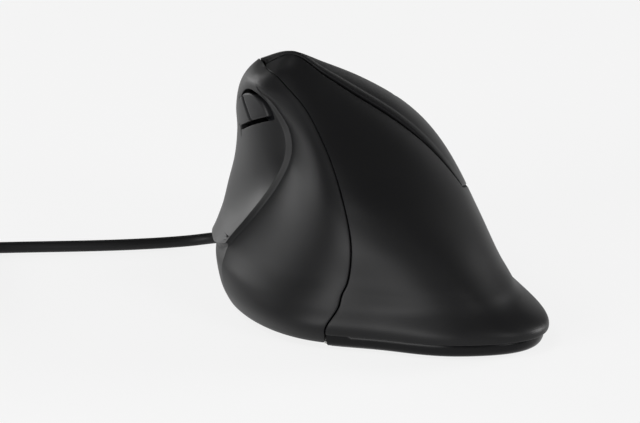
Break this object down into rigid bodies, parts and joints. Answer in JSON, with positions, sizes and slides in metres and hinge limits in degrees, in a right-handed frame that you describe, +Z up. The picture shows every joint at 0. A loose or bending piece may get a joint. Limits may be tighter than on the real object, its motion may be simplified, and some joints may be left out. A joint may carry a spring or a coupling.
{
  "type": "vertical mouse",
  "caption": "Right-handed upright computer mouse with a thumb scoop, slanted keys, a scroll wheel, side buttons and a coiled cable ending in a flat plug.",
  "frame": {"origin": "middle of the mouse's box on the table, cable left out", "axes": "+X to the palm flange on the right, +Y to the front where the cable leaves, +Z up"},
  "size_m": [0.1983, 0.1205, 0.0641],
  "materials": {
    "shell": "fine-grained soft-touch surface, dark charcoal",
    "key": "fine-grained soft-touch surface, a touch smoother than the shells",
    "bridge": "polished black",
    "button": "satin dark grey",
    "base": "plain moulded black",
    "tyre": "ribbed, matt",
    "hub": "plain moulded grey",
    "inner": "plain moulded, unseen",
    "switch_case": "plain moulded, dark blue",
    "tact_case": "plain moulded",
    "pin": "plain moulded, ivory",
    "cap": "plain moulded, dull red",
    "board": "green lacquered board",
    "socket": "plain moulded, ivory",
    "chip": "moulded package",
    "lens": "clear, polished",
    "steel": "ground pin",
    "screw": "black zinc",
    "foot": "slick white pads",
    "cable": "smooth jacket, satin",
    "relief": "moulded, matt",
    "tie": "coated wire strap",
    "plug": "moulded grip",
    "plug_metal": "nickel plated sheet",
    "contact": "plated",
    "ribbon": "flat cable"
  },
  "bodies": {
    "case": {"palm_shell": "shell", "thumb_cover": "shell", "base_tray": "base", "key_plate": "shell", "button_bridge": "bridge", "cradle_pin": "steel", "left_switch": "switch_case", "right_switch": "switch_case", "middle_switch": "tact_case", "key_board": "board", "board_frame": "inner", "main_board": "board", "sensor_chip": "chip", "sensor_lens": "lens", "ribbon_socket": "socket", "ribbon_cable": "ribbon", "cable_socket": "socket", "case_screws": "screw", "board_screws": "steel", "feet": "foot", "back_switch": "tact_case", "forward_switch": "tact_case", "side_board": "board", "strain_relief": "relief", "inner_lead": "cable", "cord": "cable", "cord_coil": "cable", "coil_tie": "tie", "plug_grip": "plug", "plug_shell": "plug_metal", "plug_tongue": "socket", "plug_contacts": "contact"},
    "left_key": {"left_button": "key"},
    "right_key": {"right_button": "key"},
    "left_pin": {"left_plunger": "pin"},
    "right_pin": {"right_plunger": "pin"},
    "cradle": {"wheel_cradle": "inner", "encoder": "switch_case"},
    "wheel": {"wheel_tyre": "tyre", "wheel_hub": "hub", "wheel_axle": "steel"},
    "middle_cap": {"middle_plunger": "cap"},
    "back_key": {"back_button": "button"},
    "back_cap": {"back_plunger": "cap"},
    "forward_key": {"forward_button": "button"},
    "forward_cap": {"forward_plunger": "cap"}
  },
  "joints": [
    {"name": "left_click", "type": "hinge", "parent": "case", "child": "left_key", "pos_m": [-0.01321, 0.02118, 0.06005], "axis": [-0.9004, 0.1423, 0.4112], "range_deg": [0, 0.9], "stiffness_Nm_per_rad": 0.4, "springref_deg": -1.15},
    {"name": "right_click", "type": "hinge", "parent": "case", "child": "right_key", "pos_m": [0.01891, 0.01097, 0.0415], "axis": [-0.9004, 0.1423, 0.4112], "range_deg": [0, 0.9], "stiffness_Nm_per_rad": 0.4, "springref_deg": -1.15},
    {"name": "left_pin_travel", "type": "slide", "parent": "case", "child": "left_pin", "axis": [-0.4242, -0.4977, -0.7566], "range_m": [0, 0.0007]},
    {"name": "right_pin_travel", "type": "slide", "parent": "case", "child": "right_pin", "axis": [-0.4242, -0.4977, -0.7566], "range_m": [0, 0.0007]},
    {"name": "wheel_click", "type": "hinge", "parent": "case", "child": "cradle", "pos_m": [0.00273, 0.01892, 0.04735], "axis": [-0.9004, 0.1423, 0.4112], "range_deg": [0, 0.9], "stiffness_Nm_per_rad": 0.4, "springref_deg": -1.15},
    {"name": "wheel_spin", "type": "hinge", "parent": "cradle", "child": "wheel", "pos_m": [0.00134, 0.03124, 0.04002], "axis": [0.9004, -0.1423, -0.4112], "continuous": true},
    {"name": "middle_cap_travel", "type": "slide", "parent": "case", "child": "middle_cap", "axis": [-0.4242, -0.4977, -0.7566], "range_m": [0, 0.0007]},
    {"name": "back_press", "type": "slide", "parent": "case", "child": "back_key", "axis": [1, 0, 0], "range_m": [0, 0.0006], "stiffness_N_per_m": 600, "springref_m": -0.0005},
    {"name": "back_cap_travel", "type": "slide", "parent": "case", "child": "back_cap", "axis": [1, 0, 0], "range_m": [0, 0.0007]},
    {"name": "forward_press", "type": "slide", "parent": "case", "child": "forward_key", "axis": [1, 0, 0], "range_m": [0, 0.0006], "stiffness_N_per_m": 600, "springref_m": -0.0005},
    {"name": "forward_cap_travel", "type": "slide", "parent": "case", "child": "forward_cap", "axis": [1, 0, 0], "range_m": [0, 0.0007]}
  ],
  "couplings": [
    {"joint": "left_pin_travel", "follows": "left_click", "m_per_rad": 0.022214},
    {"joint": "right_pin_travel", "follows": "right_click", "m_per_rad": 0.024269},
    {"joint": "middle_cap_travel", "follows": "wheel_click", "m_per_rad": 0.0299},
    {"joint": "back_cap_travel", "follows": "back_press", "ratio": 1},
    {"joint": "forward_cap_travel", "follows": "forward_press", "ratio": 1}
  ]
}
